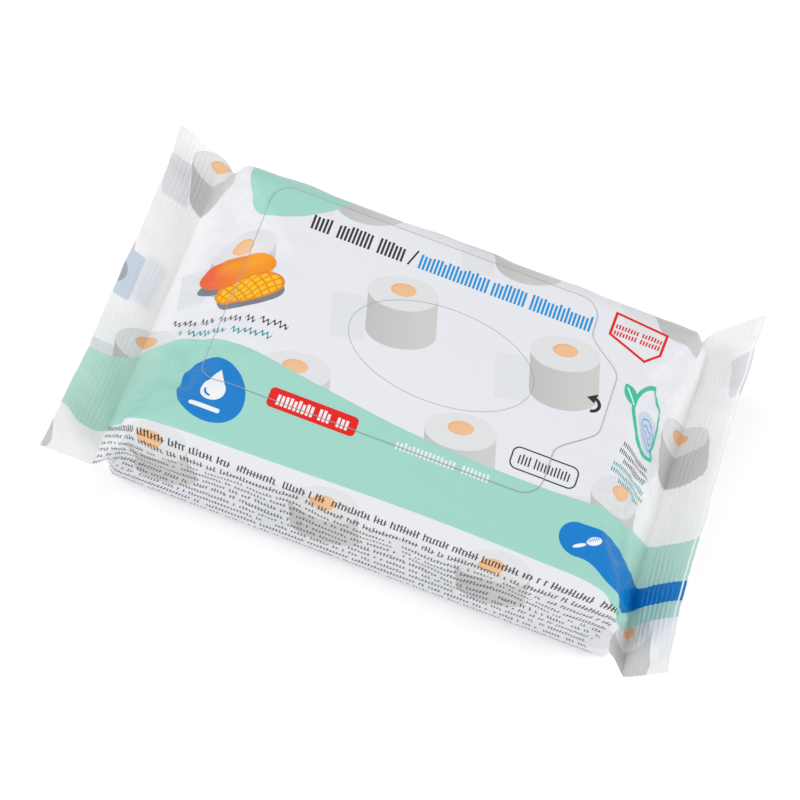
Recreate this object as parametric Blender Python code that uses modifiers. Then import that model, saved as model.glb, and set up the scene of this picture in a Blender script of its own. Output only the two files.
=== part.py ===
"""Flow-wrapped pack of moist tissues with a peel-back closure label. Metres, +Z up.

The film is a tube round a soft stack: it drapes from the stack's edges to a crimped fin at each end,
and the side walls fold out there into four pointed ears. The origin is under the middle of the pack,
on the surface that it lies on. +X runs along the pack, +Y to its back.
"""

import math

import bmesh
import bpy

MM = 0.001

# Pack body
pack_width = 124 * MM
pack_height = 43 * MM
top_edge_radius = 9 * MM
bottom_edge_radius = 7 * MM
ridge_height = 20 * MM          # where the upper and lower halves of the film meet
top_crown = 1.2 * MM            # the top panel is a little higher in its middle

# The drapes from the stack to the fins
side_shoulder = {"left": 84 * MM, "right": 91 * MM}     # where the side walls leave the stack
top_set_back = {"left": 28 * MM, "right": 17 * MM}      # the top panel leaves it this much earlier
bottom_reach = {"left": 5 * MM, "right": 6 * MM}        # and the underside this much later
sag_half_width = 25 * MM        # the top is set back fully between these
sag_fade = 36 * MM              # and not at all this much further out
shoulder_bend = 0.35            # share of the drape that is bent, before it runs straight to the fin

# End fins
fin_root_x = {"left": 95.5 * MM, "right": 99.5 * MM}    # from the middle of the pack
fin_root_height = 17 * MM
fin_lift = {"left": math.radians(31), "right": math.radians(42)}
fin_thickness = 0.4 * MM
crimp_count = 7
crimp_pitch = 2 * MM
crimp_depth = 0.3 * MM
crimp_margin = 3 * MM           # plain film between the root and the first crimp
fin_hem = 3 * MM                # and between the last crimp and the cut edge

# Each ear's corner at the root and at the cut edge: how far it stands out from the pack's side,
# how far above the middle of the fin, and how far beyond it
ear_out = {
    ("left", "front"): (8 * MM, 14 * MM),
    ("left", "back"): (6 * MM, 13.5 * MM),
    ("right", "front"): (9.5 * MM, 14 * MM),
    ("right", "back"): (8 * MM, 14 * MM),
}
ear_rise = {
    ("left", "front"): (6 * MM, 8 * MM),
    ("left", "back"): (7 * MM, -3 * MM),
    ("right", "front"): (-1 * MM, 10.5 * MM),
    ("right", "back"): (11 * MM, 11 * MM),
}
ear_reach = {
    ("left", "front"): (0, 0),
    ("left", "back"): (0, 3 * MM),
    ("right", "front"): (5 * MM, 1 * MM),
    ("right", "back"): (0, -1 * MM),
}

# Lengthwise back seal, pressed flush into the underside
back_seal_width = 12 * MM
seal_groove_width = 0.6 * MM
seal_groove_depth = 0.35 * MM

# Closure label
label_left_x = -72 * MM
label_right_x = 54.5 * MM
label_width = 86.5 * MM
label_centre_y = 11.5 * MM
label_corner_radius = 8 * MM
label_thickness = 0.25 * MM
label_gap = 0.3 * MM
tab_reach = 13.5 * MM
tab_half_width = 27 * MM
tab_shift = 3 * MM              # the tab sits this far behind the label's middle
tab_fullness = 1.7              # above 1 the tab is as far out as it goes over part of its width

# Facets
corner_steps = 5
side_steps = 2
top_steps = 12
bottom_steps = 4                # on each side of the back seal
body_rings = 10
drape_rings = 9
label_arc_steps = 6
tab_steps = 24

# Worked out from the sizes above
fin_width = crimp_margin + crimp_count * crimp_pitch + fin_hem


def clear_scene():
    for old in list(bpy.data.objects):
        bpy.data.objects.remove(old)


def material(name, colour, roughness):
    made = bpy.data.materials.new(name)
    made.use_nodes = True
    shader = made.node_tree.nodes["Principled BSDF"]
    shader.inputs["Base Color"].default_value = (*colour, 1)
    shader.inputs["Roughness"].default_value = roughness
    shader.inputs["Metallic"].default_value = 0
    return made


def smooth(t):
    t = min(max(t, 0), 1)
    return t * t * (3 - 2 * t)


def even_steps(start, end, count):
    """count steps from start towards end, without start itself."""
    return [start + (end - start) * (i + 1) / count for i in range(count)]


def quarter_round(centre_y, centre_z, radius, start_deg, end_deg, steps):
    """Points on an arc in the YZ plane, without its first point."""
    points = []
    for degrees in even_steps(start_deg, end_deg, steps):
        angle = math.radians(degrees)
        points.append((centre_y + radius * math.cos(angle), centre_z + radius * math.sin(angle)))
    return points


def upper_section():
    """The film over the stack, from the front ridge to the back one, as (y, z)."""
    half = pack_width / 2
    arc_y = half - top_edge_radius
    arc_z = pack_height - top_crown - top_edge_radius
    foot_z = ridge_height + fin_thickness / 2
    points = [(-half, foot_z)]
    points += [(-half, z) for z in even_steps(foot_z, arc_z, side_steps)]
    points += quarter_round(-arc_y, arc_z, top_edge_radius, 180, 90, corner_steps)
    points += [(y, arc_z + top_edge_radius) for y in even_steps(-arc_y, arc_y, top_steps)]
    points += quarter_round(arc_y, arc_z, top_edge_radius, 90, 0, corner_steps)
    points += [(half, z) for z in even_steps(arc_z, foot_z, side_steps)]
    return [(y, z + crown_at(y) * smooth((z - foot_z) / (pack_height - foot_z))) for y, z in points]


def crown_at(y):
    return top_crown * math.cos(math.pi * y / pack_width)


def back_seal_grooves():
    """The underside between the two edges of the back seal, from back to front."""
    edge = back_seal_width / 2
    half_groove = seal_groove_width / 2
    points = []
    for groove_y in (edge, -edge):
        points += [
            (groove_y + half_groove, 0),
            (groove_y, seal_groove_depth),
            (groove_y - half_groove, 0),
        ]
    return points


def lower_section():
    """The film under the stack, from the back ridge to the front one, as (y, z)."""
    half = pack_width / 2
    arc_y = half - bottom_edge_radius
    foot_z = ridge_height - fin_thickness / 2
    inner = back_seal_width / 2 + seal_groove_width / 2
    points = [(half, foot_z)]
    points += [(half, z) for z in even_steps(foot_z, bottom_edge_radius, side_steps)]
    points += quarter_round(arc_y, bottom_edge_radius, bottom_edge_radius, 0, -90, corner_steps)
    points += [(y, 0) for y in even_steps(arc_y, inner, bottom_steps)][:-1]
    points += back_seal_grooves()
    points += [(y, 0) for y in even_steps(-inner, -arc_y, bottom_steps)]
    points += quarter_round(-arc_y, bottom_edge_radius, bottom_edge_radius, -90, -180, corner_steps)
    points += [(-half, z) for z in even_steps(bottom_edge_radius, foot_z, side_steps)]
    return points


def run_shares(section):
    """Where each point lies along its section: 0 at the first ridge, 1 at the second."""
    runs = [0]
    for (y0, z0), (y1, z1) in zip(section, section[1:]):
        runs.append(runs[-1] + math.hypot(y1 - y0, z1 - z0))
    return [run / runs[-1] for run in runs]


def shoulder_at(end, y, z):
    """How far from the middle the film leaves the stack, for a point of the section."""
    if z < ridge_height:
        down = smooth((ridge_height - z) / ridge_height)
        return side_shoulder[end] + bottom_reach[end] * down
    sag = 1 - smooth((abs(y) - sag_half_width) / sag_fade)
    return side_shoulder[end] - top_set_back[end] * sag


def fin_point(end, across, along):
    """A point of the fin's middle surface. across runs from -1 at the front ear to 1 at the back one,
    along is the distance from the root."""
    sign = -1 if end == "left" else 1
    ear = (end, "back" if across > 0 else "front")
    share = abs(across) ** 3
    wider, rise, reach = [
        sizes[ear][0] + (sizes[ear][1] - sizes[ear][0]) * along / fin_width
        for sizes in (ear_out, ear_rise, ear_reach)
    ]
    x = fin_root_x[end] + along * math.cos(fin_lift[end]) + reach * share
    z = fin_root_height + along * math.sin(fin_lift[end]) + rise * share
    return sign * x, across * (pack_width / 2 + wider), z


def crimp_at(along):
    """Height of the crimp's wave at a distance from the fin's root."""
    step = (along - crimp_margin) / (crimp_pitch / 2)
    if step < 0 or step > 2 * crimp_count:
        return 0
    return crimp_depth * (0.5 - abs(step % 2 - 1))


def fin_stops():
    """Distances from the root at which the fin has a ring: each crest and root of the crimp."""
    crimps = [crimp_margin + i * crimp_pitch / 2 for i in range(2 * crimp_count + 1)]
    return [0, crimp_margin * 0.5] + crimps + [fin_width]


def fin_ring(end, shares, side, along):
    """One ring of the fin. side is 1 for its upper skin and -1 for its lower one."""
    ring = []
    sign = -1 if end == "left" else 1
    lift = crimp_at(along) + side * fin_thickness / 2
    for share in shares:
        across = 2 * share - 1 if side > 0 else 1 - 2 * share
        x, y, z = fin_point(end, across, along)
        ring.append((
            x - sign * lift * math.sin(fin_lift[end]),
            y,
            z + lift * math.cos(fin_lift[end]),
        ))
    return ring


def drape_drop(out):
    """The drape's profile: a bend at the stack's edge, then straight to the fin. Both ends are 0 and 1."""
    slope = 1 / (1 - shoulder_bend / 2)
    if out < shoulder_bend:
        return slope * out * out / (2 * shoulder_bend)
    return slope * (out - shoulder_bend / 2)


def drape_ring(end, section, roots, out):
    """A ring between the stack, where out is 0, and the fin's root, where it is 1."""
    sign = -1 if end == "left" else 1
    drop = drape_drop(out)
    ring = []
    for (y, z), (root_x, root_y, root_z) in zip(section, roots):
        start_x = sign * shoulder_at(end, y, z)
        ring.append((
            start_x + (root_x - start_x) * out,
            y + (root_y - y) * drop,
            z + (root_z - z) * drop,
        ))
    return ring


def body_ring(section, share):
    ring = []
    for y, z in section:
        left, right = -shoulder_at("left", y, z), shoulder_at("right", y, z)
        ring.append((left + (right - left) * share, y, z))
    return ring


def cover_rings(section, side):
    """The rings over the stack, with the drapes at both ends up to the fins' roots."""
    shares = run_shares(section)
    roots = fin_ring("left", shares, side, 0)
    rings = [drape_ring("left", section, roots, out) for out in even_steps(1, 0, drape_rings)]
    rings += [body_ring(section, share) for share in even_steps(0, 1, body_rings)]
    roots = fin_ring("right", shares, side, 0)
    rings += [drape_ring("right", section, roots, out) for out in even_steps(0, 1, drape_rings)[:-1]]
    return rings


def half_rings(section, side):
    """Every ring of the upper or lower half of the film, from the left cut edge to the right one."""
    shares = run_shares(section)
    rings = [fin_ring("left", shares, side, along) for along in reversed(fin_stops())]
    rings += cover_rings(section, side)
    rings += [fin_ring("right", shares, side, along) for along in fin_stops()]
    return rings


def make_film(parts):
    """The wrapped pack: one closed loft, whose rings hold the upper half and then the lower one."""
    upper, lower = half_rings(upper_section(), 1), half_rings(lower_section(), -1)
    shape = bmesh.new()
    rings = [[shape.verts.new(point) for point in up + down] for up, down in zip(upper, lower)]
    count = len(rings[0])
    for ring, following in zip(rings, rings[1:]):
        for i in range(count):
            j = (i + 1) % count
            shape.faces.new((ring[i], ring[j], following[j], following[i]))
    across = len(upper[0])
    for ring in (rings[0], rings[-1]):
        above, below = ring[:across], ring[across:][::-1]
        close_edge(shape, above, below)
    bmesh.ops.recalc_face_normals(shape, faces=shape.faces)
    return finish(shape, "film_pack", parts, material("printed_film", (0.80, 0.81, 0.84), 0.35))


def close_edge(shape, above, below):
    """Closes the fin's cut edge between its two skins, whose columns may differ in number."""
    i = j = 0
    while i < len(above) - 1 or j < len(below) - 1:
        step_above = j == len(below) - 1 or (
            i < len(above) - 1 and above[i + 1].co.y <= below[j + 1].co.y
        )
        if step_above:
            shape.faces.new((above[i], above[i + 1], below[j]))
            i += 1
        else:
            shape.faces.new((above[i], below[j + 1], below[j]))
            j += 1


def label_outline():
    """The label's outline seen from above, anticlockwise from its front left corner."""
    half = label_width / 2
    radius = label_corner_radius
    corners = [
        (label_left_x + radius, -half + radius, 180),
        (label_right_x - radius, -half + radius, 270),
        (label_right_x - radius, half - radius, 0),
        (label_left_x + radius, half - radius, 90),
    ]
    points = []
    for number, (x, y, start) in enumerate(corners):
        for step in range(label_arc_steps + 1):
            angle = math.radians(start + 90 * step / label_arc_steps)
            points.append((x + radius * math.cos(angle), y + radius * math.sin(angle)))
        if number == 1:
            points += pull_tab()
    return [(x, y + label_centre_y) for x, y in points]


def pull_tab():
    """The bulge of the label's right edge that fingers lift."""
    points = []
    for y in even_steps(-tab_half_width, tab_half_width, tab_steps)[:-1]:
        swell = smooth(tab_fullness * (1 - abs(y) / tab_half_width))
        points.append((label_right_x + tab_reach * swell, y + tab_shift))
    return points


def label_cutter(cutters):
    """The label's outline as an upright prism."""
    shape = bmesh.new()
    face = shape.faces.new([shape.verts.new((x, y, ridge_height)) for x, y in label_outline()])
    grown = bmesh.ops.extrude_face_region(shape, geom=[face])["geom"]
    for corner in grown:
        if isinstance(corner, bmesh.types.BMVert):
            corner.co.z += pack_height
    bmesh.ops.recalc_face_normals(shape, faces=shape.faces)
    cutter = finish(shape, "label_outline", cutters)
    cutter.hide_render = True
    cutter.display_type = "WIRE"
    return cutter


def make_label(parts, cutters):
    """A skin that lies over the film's top and is cut to the label's outline."""
    shape = bmesh.new()
    rings = [[shape.verts.new(point) for point in ring] for ring in cover_rings(upper_section(), 1)]
    for ring, following in zip(rings, rings[1:]):
        for i in range(len(ring) - 1):
            shape.faces.new((ring[i], following[i], following[i + 1], ring[i + 1]))
    label = finish(shape, "closure_label", parts, material("label_film", (0.82, 0.83, 0.86), 0.25))
    lifted = label.modifiers.new("clear of the film", "DISPLACE")
    lifted.mid_level = 0
    lifted.strength = label_gap
    thick = label.modifiers.new("film thickness", "SOLIDIFY")
    thick.thickness = label_thickness
    thick.offset = 1
    cut = label.modifiers.new("cut to the outline", "BOOLEAN")
    cut.operation = "INTERSECT"
    cut.object = label_cutter(cutters)
    return label


def finish(shape, name, home, surface=None):
    mesh = bpy.data.meshes.new(name)
    shape.to_mesh(mesh)
    shape.free()
    mesh.shade_smooth()
    mesh.set_sharp_from_angle(angle=math.radians(35))
    made = bpy.data.objects.new(name, mesh)
    if surface:
        made.data.materials.append(surface)
    home.objects.link(made)
    return made


def new_collection(name):
    made = bpy.data.collections.new(name)
    bpy.context.scene.collection.children.link(made)
    return made


def main():
    clear_scene()
    parts = new_collection("moist_tissue_pack")
    make_film(parts)
    make_label(parts, new_collection("cutters"))


main()
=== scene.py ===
import math

import bmesh
import bpy
import numpy as np
from mathutils import Matrix, Vector, geometry, interpolate
from mathutils.bvhtree import BVHTree


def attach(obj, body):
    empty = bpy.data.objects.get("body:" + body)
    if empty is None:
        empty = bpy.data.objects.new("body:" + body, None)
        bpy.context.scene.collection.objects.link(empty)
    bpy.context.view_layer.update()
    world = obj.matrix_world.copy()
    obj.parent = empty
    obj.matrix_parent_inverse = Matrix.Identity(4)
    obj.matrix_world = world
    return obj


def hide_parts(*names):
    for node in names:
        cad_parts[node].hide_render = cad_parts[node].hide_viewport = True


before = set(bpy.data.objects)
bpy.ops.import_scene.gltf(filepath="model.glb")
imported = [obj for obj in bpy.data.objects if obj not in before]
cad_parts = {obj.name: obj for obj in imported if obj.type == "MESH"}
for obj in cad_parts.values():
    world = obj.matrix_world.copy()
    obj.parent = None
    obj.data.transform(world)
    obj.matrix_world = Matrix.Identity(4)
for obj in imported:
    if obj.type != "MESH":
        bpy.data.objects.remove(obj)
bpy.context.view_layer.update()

mm = 0.001


# The pack's form. Lengths are in metres.

pack = {
    "sideShoulder": {"left": 84 * mm, "right": 91 * mm},
    "rootX": {"left": 95.5 * mm, "right": 99.5 * mm},
    "width": 124 * mm,
    "height": 43 * mm,
    "topRadius": 9 * mm,
    "bottomRadius": 7 * mm,
    "ridgeHeight": 20 * mm,
    "crown": 1.2 * mm,
    "topSetBack": {"left": 28 * mm, "right": 17 * mm},
    "bottomSetBack": {"left": -5 * mm, "right": -6 * mm},
    "sagHalfWidth": 25 * mm,
    "sagFade": 36 * mm,
    "shoulderBend": 0.35,
    "backSealWidth": 12 * mm,
    "sealGroove": (0.6 * mm, 0.35 * mm),  # width and depth
    "upperColumns": 150,
    "lowerColumns": 88,
    "bodyRings": 84,
    "drapeRings": 44,
}

fin = {
    "rootHeight": 17 * mm,
    "lift": {"left": math.radians(31), "right": math.radians(42)},
    "width": 20 * mm,
    "thickness": 0.4 * mm,
    "earOut": {
        ("left", "front"): (8 * mm, 14 * mm),
        ("left", "back"): (6 * mm, 13.5 * mm),
        ("right", "front"): (9.5 * mm, 14 * mm),
        ("right", "back"): (8 * mm, 14 * mm),
    },
    "earRise": {
        ("left", "front"): (6 * mm, 8 * mm),
        ("left", "back"): (7 * mm, -3 * mm),
        ("right", "front"): (-1 * mm, 10.5 * mm),
        ("right", "back"): (11 * mm, 11 * mm),
    },
    "earReach": {
        ("left", "front"): (0, 0),
        ("left", "back"): (0, 3 * mm),
        ("right", "front"): (5 * mm, 1 * mm),
        ("right", "back"): (0, -1 * mm),
    },
    "rings": 84,
}

relief = {
    "Crimp Pitch": 2 * mm,
    "Crimp Depth": 0.42 * mm,
    "Crimp Margin": 3 * mm,
    "Crimp End": 17.2 * mm,
    "Wave Length": 27 * mm,
    "Wave Depth": 2.7 * mm,
    "Fold Length": 55 * mm,
    "Fold Width": 9 * mm,
    "Fold Depth": 3.6 * mm,
    "Seed": 4,
}


def smooth(t):
    t = np.clip(t, 0, 1)
    return t * t * (3 - 2 * t)


def blend(a, b, t):
    return a + (b - a) * t


def arc(centreY, centreZ, radius, start, end, steps):
    angles = np.radians(np.linspace(start, end, steps))
    return list(zip(centreY + radius * np.cos(angles), centreZ + radius * np.sin(angles)))


def columnsAlong(corners, count, extra=()):
    # points along a line of (y, z) corners: count of them evenly, and more at the extra distances
    corners = np.array(corners)
    runs = np.concatenate([[0], np.cumsum(np.hypot(*np.diff(corners, axis=0).T))])
    places = np.sort(np.concatenate([np.linspace(0, runs[-1], count), extra]))
    return np.stack([np.interp(places, runs, corners[:, i]) for i in (0, 1)], axis=1), places


def upperSection():
    half = pack["width"] / 2
    arcY = half - pack["topRadius"]
    arcZ = pack["height"] - pack["crown"] - pack["topRadius"]
    foot = pack["ridgeHeight"] + fin["thickness"] / 2
    corners = [(-half, foot)]
    corners += arc(-arcY, arcZ, pack["topRadius"], 180, 90, 24)
    corners += arc(arcY, arcZ, pack["topRadius"], 90, 0, 24)
    corners += [(half, foot)]
    section, places = columnsAlong(corners, pack["upperColumns"])
    crown = pack["crown"] * np.cos(np.pi * section[:, 0] / pack["width"])
    section[:, 1] += crown * smooth((section[:, 1] - foot) / (pack["height"] - foot))
    return section, places


def lowerSection():
    half = pack["width"] / 2
    arcY = half - pack["bottomRadius"]
    foot = pack["ridgeHeight"] - fin["thickness"] / 2
    corners = [(half, foot)]
    corners += arc(arcY, pack["bottomRadius"], pack["bottomRadius"], 0, -90, 20)
    corners += arc(-arcY, pack["bottomRadius"], pack["bottomRadius"], -90, -180, 20)
    corners += [(-half, foot)]
    # the lengthwise seal is pressed in along its two edges
    wide, deep = pack["sealGroove"]
    middle = foot - pack["bottomRadius"] + math.pi / 2 * pack["bottomRadius"] + arcY
    edges = [middle + side * pack["backSealWidth"] / 2 for side in (-1, 1)]
    extra = [edge + wide / 2 * step for edge in edges for step in (-1, 0, 1)]
    section, places = columnsAlong(corners, pack["lowerColumns"], extra)
    for edge in edges:
        section[:, 1] += deep * np.clip(1 - abs(places - edge) / (wide / 2), 0, 1)
    return section, places


def shoulderAt(end, section):
    # how far from the middle the film leaves the stack, for each column
    y, z = section.T
    down = smooth((pack["ridgeHeight"] - z) / pack["ridgeHeight"])
    sag = 1 - smooth((abs(y) - pack["sagHalfWidth"]) / pack["sagFade"])
    above = z >= pack["ridgeHeight"]
    setBack = np.where(above, pack["topSetBack"][end] * sag, pack["bottomSetBack"][end] * down)
    return pack["sideShoulder"][end] - setBack


def finPoints(end, across, along, lift):
    # across runs from -1 at the front ear to 1 at the back one, and lift is the height off the middle
    sign = -1 if end == "left" else 1
    out = along / fin["width"]
    share = abs(across) ** 3
    back = across > 0
    rise, reach, wider = [
        np.where(back, blend(*sizes[end, "back"], out), blend(*sizes[end, "front"], out))
        for sizes in (fin["earRise"], fin["earReach"], fin["earOut"])
    ]
    tilt = fin["lift"][end]
    x = pack["rootX"][end] + along * math.cos(tilt) + reach * share
    z = fin["rootHeight"] + along * math.sin(tilt) + rise * share
    y = across * (pack["width"] / 2 + wider)
    return np.stack([sign * (x - lift * math.sin(tilt)), y, z + lift * math.cos(tilt)], axis=-1)


def drapeDrop(out):
    bend = pack["shoulderBend"]
    slope = 1 / (1 - bend / 2)
    return slope * np.where(out < bend, out * out / (2 * bend), out - bend / 2)


def ringStations():
    # (zone, end, how far out) of every ring from the left cut edge to the right one
    finRuns = np.linspace(0, fin["width"], fin["rings"])
    outs = np.linspace(0, 1, pack["drapeRings"] + 1)
    stations = [("fin", "left", run) for run in finRuns[::-1]]
    stations += [("drape", "left", out) for out in outs[::-1][1:]]
    stations += [("body", "middle", share) for share in np.linspace(0, 1, pack["bodyRings"] + 1)[1:]]
    stations += [("drape", "right", out) for out in outs[1:-1]]
    stations += [("fin", "right", run) for run in finRuns]
    return stations


def halfRings(section, places, side):
    # every ring of the upper (side 1) or lower (side -1) half
    across = (2 * places / places[-1] - 1) * side
    skin = side * fin["thickness"] / 2
    shoulders = {end: shoulderAt(end, section) for end in ("left", "right")}
    rings = []
    for zone, end, out in ringStations():
        if zone == "fin":
            rings.append(finPoints(end, across, out, skin))
        elif zone == "drape":
            root = finPoints(end, across, 0, skin)
            x = blend((-1 if end == "left" else 1) * shoulders[end], root[:, 0], out)
            drop = drapeDrop(out)
            fall = [blend(section[:, i], root[:, i + 1], drop) for i in (0, 1)]
            rings.append(np.stack([x, *fall], 1))
        else:
            x = blend(-shoulders["left"], shoulders["right"], out)
            rings.append(np.stack([x, section[:, 0], section[:, 1]], 1))
    return np.array(rings)


def filmCoordinates(points, places, start):
    # (u, v) of the flat film: u along the pack from its middle, v round it from the top's middle
    steps = np.linalg.norm(np.diff(points, axis=0), axis=2)
    runs = np.concatenate([np.zeros((1, points.shape[1])), np.cumsum(steps, axis=0)])
    middle = np.array([np.interp(0, points[:, i, 0], runs[:, i]) for i in range(points.shape[1])])
    u = runs - middle
    return np.stack([u, np.broadcast_to(start + places, u.shape)], axis=-1)


def straightenSeals(coords, reference):
    # each column's run is stretched past the flat part, so that the seals lie straight across the film
    rootRows = (fin["rings"] - 1, coords.shape[0] - fin["rings"])
    flat = 50 * mm
    u = coords[..., 0].copy()
    for row, sign in zip(rootRows, (-1, 1)):
        wanted = abs(reference[row]) - flat
        own = abs(coords[row, :, 0]) - flat
        past = sign * coords[..., 0] - flat
        stretched = flat + past * (wanted / own)
        stretched = np.where(past > own, flat + wanted + past - own, stretched)
        u = np.where(past > 0, sign * stretched, u)
    return np.stack([u, coords[..., 1]], axis=-1)


def bakeMap(coords, girth):
    # the film laid flat in the unit square, with a margin for the cut edges
    return np.stack([0.5 + coords[..., 0] / (270 * mm), (coords[..., 1] + girth / 4) / girth], axis=-1)


def closeEdge(shape, above, below, outward):
    # closes a fin's cut edge between its two skins, whose columns differ in number
    layer, bake = shape.loops.layers.uv["film"], shape.loops.layers.uv["OFBake"]
    spots = {}
    for corner in above:
        loop = corner.link_loops[0]
        spots[corner] = loop[layer].uv.copy(), loop[bake].uv.copy()
    i = j = 0
    while i < len(above) - 1 or j < len(below) - 1:
        onTop = j == len(below) - 1 or (i < len(above) - 1 and above[i + 1].co.y <= below[j + 1].co.y)
        corners = (above[i], above[i + 1], below[j]) if onTop else (above[i], below[j + 1], below[j])
        for loop in shape.faces.new(corners).loops:
            near, flat = spots[loop.vert if loop.vert in spots else above[i]]
            loop[layer].uv = near
            loop[bake].uv = flat if loop.vert in spots else (flat.x + outward * 0.004, flat.y)
        i, j = (i + 1, j) if onTop else (i, j + 1)


slack = {
    "wall": 0.8,
    "leftWall": 1.25,  # the walls' left half waves this much more
    "stillTop": 5 * mm,  # the top stays still down to here
    "stillFoot": 14 * mm,  # and the foot up to here
    "footFade": 8 * mm,
    "drapeWave": 0.5,
    "drapeFold": 0.25,
    "finWave": 0.7,
    "finFade": 10 * mm,
    "finFold": 0.35,
    "turn": 0.35,  # last part of the drape that moves the fin's way
    "nearEnd": 0.22,
    "topFold": 0.12,
}


def looseness(side, section):
    # how much each point may wave, how much it may fold towards the seals, and the way it moves
    count = len(section)
    wave, fold, towardsFin = [], [], []
    onTop = side > 0
    z = section[:, 1]
    free = smooth((z - slack["stillFoot"]) / slack["footFade"])
    wall = slack["wall"] * free
    if onTop:
        wall = np.where(z > pack["height"] - slack["stillTop"], 0.0, slack["wall"])
    for zone, _, out in ringStations():
        if zone == "fin":
            wave.append(np.full(count, slack["finWave"] * min(1, 0.3 + out / slack["finFade"])))
            fold.append(np.full(count, slack["finFold"]))
            towardsFin.append(1)
        elif zone == "drape":
            low = np.ones(count) if onTop else np.clip(blend(free, 1, out ** 2), 0, 1)
            swell = blend(slack["drapeFold"], 1, math.sin(math.pi * out ** 1.3))
            wave.append(blend(wall, slack["drapeWave"], out) * low)
            fold.append(low * swell * blend(1, slack["finFold"], out ** 4))
            towardsFin.append(float(smooth(1 - (1 - out) / slack["turn"])))
        else:
            near = max(0, 1 - min(out, 1 - out) / slack["nearEnd"])
            wave.append(wall * (1 if out > 0.5 else slack["leftWall"]))
            fold.append(wall * near * 0.5 + (slack["topFold"] * near ** 2 if onTop else 0))
            towardsFin.append(0)
    return np.array(wave), np.array(fold), np.array(towardsFin)


def giveAttribute(mesh, name, values):
    kind, field = ("FLOAT_VECTOR", "vector") if values.ndim > 1 else ("FLOAT", "value")
    mesh.attributes.new(name, kind, "POINT").data.foreach_set(field, values.astype(np.float32).ravel())


def makeFilm():
    upper, upperPlaces = upperSection()
    lower, lowerPlaces = lowerSection()
    top, under = halfRings(upper, upperPlaces, 1), halfRings(lower, lowerPlaces, -1)
    upperGirth, girth = upperPlaces[-1], upperPlaces[-1] + lowerPlaces[-1]
    topMap = filmCoordinates(top, upperPlaces, -upperGirth / 2)
    underMap = filmCoordinates(under, lowerPlaces, upperGirth / 2)
    reference = topMap[:, top.shape[1] // 2, 0]
    topMap, underMap = straightenSeals(topMap, reference), straightenSeals(underMap, reference)
    points = np.concatenate([top, under], axis=1)
    rings, columns = points.shape[:2]
    number = np.arange(rings * columns).reshape(rings, columns)
    ahead = np.roll(number, -1, axis=1)
    quads = np.stack([number[:-1], number[1:], ahead[1:], ahead[:-1]], axis=-1).reshape(-1, 4)
    # the film's own map, with the last column closed onto the first one a girth further on
    maps = np.concatenate([topMap, underMap], axis=1)
    aheadMap = np.concatenate([maps[:, 1:], maps[:, :1] + [0, girth]], axis=1)
    corners = np.stack([maps[:-1], maps[1:], aheadMap[1:], aheadMap[:-1]], axis=2).reshape(-1, 2)
    mesh = bpy.data.meshes.new("filmPack")
    mesh.from_pydata(points.reshape(-1, 3).tolist(), [], quads.tolist())
    for name, values in (("film", corners), ("OFBake", bakeMap(corners, girth))):
        mesh.uv_layers.new(name=name).uv.foreach_set("vector", values.astype(np.float32).ravel())
    shape = bmesh.new()
    shape.from_mesh(mesh)
    shape.verts.ensure_lookup_table()
    across = top.shape[1]
    for row, outward in ((0, -1), (rings - 1, 1)):
        above = [shape.verts[i] for i in number[row, :across]]
        below = [shape.verts[i] for i in number[row, across:][::-1]]
        closeEdge(shape, above, below, outward)
    bmesh.ops.recalc_face_normals(shape, faces=shape.faces)
    shape.to_mesh(mesh)
    shape.free()
    mesh.shade_smooth()
    mesh.set_sharp_from_angle(angle=math.radians(50))
    describeFilm(mesh, points, (upper, lower))
    made = bpy.data.objects.new("filmPack", mesh)
    bpy.context.scene.collection.objects.link(made)
    return made


def describeFilm(mesh, points, sections):
    # attributes that the relief and the materials read
    parts = [looseness(side, section) for side, section in zip((1, -1), sections)]
    wave, fold = [np.concatenate([part[i] for part in parts], axis=1) for i in (0, 1)]
    towardsFin = parts[0][2][:, None, None]
    stations = ringStations()
    own = np.empty(len(mesh.vertices) * 3, np.float32)
    mesh.vertices.foreach_get("normal", own)
    own = own.reshape(points.shape)
    up = []
    for zone, end, out in stations:
        tilt = 0 if end == "middle" else fin["lift"][end]
        up.append(((1 if end == "left" else -1) * math.sin(tilt), 0, math.cos(tilt)))
    push = blend(own, np.array(up)[:, None, :], towardsFin)
    push /= np.linalg.norm(push, axis=-1, keepdims=True)
    past = np.array([out if zone == "fin" else 0 for zone, end, out in stations])
    share = np.array([0.35 if end == "left" else 1 for zone, end, out in stations])
    columns = points.shape[1]
    giveAttribute(mesh, "pastRoot", np.repeat(past, columns))
    giveAttribute(mesh, "crimpShare", np.repeat(share, columns))
    giveAttribute(mesh, "wave", wave.ravel())
    giveAttribute(mesh, "fold", fold.ravel())
    giveAttribute(mesh, "push", push.reshape(-1, 3))


# Node trees read as plain arithmetic through Number

class Number:
    def __init__(self, tree, socket):
        self.tree, self.socket = tree, socket

    def __add__(self, other):
        return work(self.tree, "ADD", self, other)

    def __radd__(self, other):
        return work(self.tree, "ADD", other, self)

    def __sub__(self, other):
        return work(self.tree, "SUBTRACT", self, other)

    def __rsub__(self, other):
        return work(self.tree, "SUBTRACT", other, self)

    def __mul__(self, other):
        return work(self.tree, "MULTIPLY", self, other)

    def __rmul__(self, other):
        return work(self.tree, "MULTIPLY", other, self)

    def __truediv__(self, other):
        return work(self.tree, "DIVIDE", self, other)

    def __abs__(self):
        return work(self.tree, "ABSOLUTE", self)


def work(tree, operation, *values, clamp=False):
    node = tree.nodes.new("ShaderNodeMath")
    node.operation = operation
    node.use_clamp = clamp
    for socket, value in zip(node.inputs, values):
        feed(tree, value, socket)
    return Number(tree, node.outputs[0])


def feed(tree, value, socket):
    if isinstance(value, Number):
        value = value.socket
    if isinstance(value, bpy.types.NodeSocket):
        tree.links.new(value, socket)
    else:
        socket.default_value = value


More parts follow.
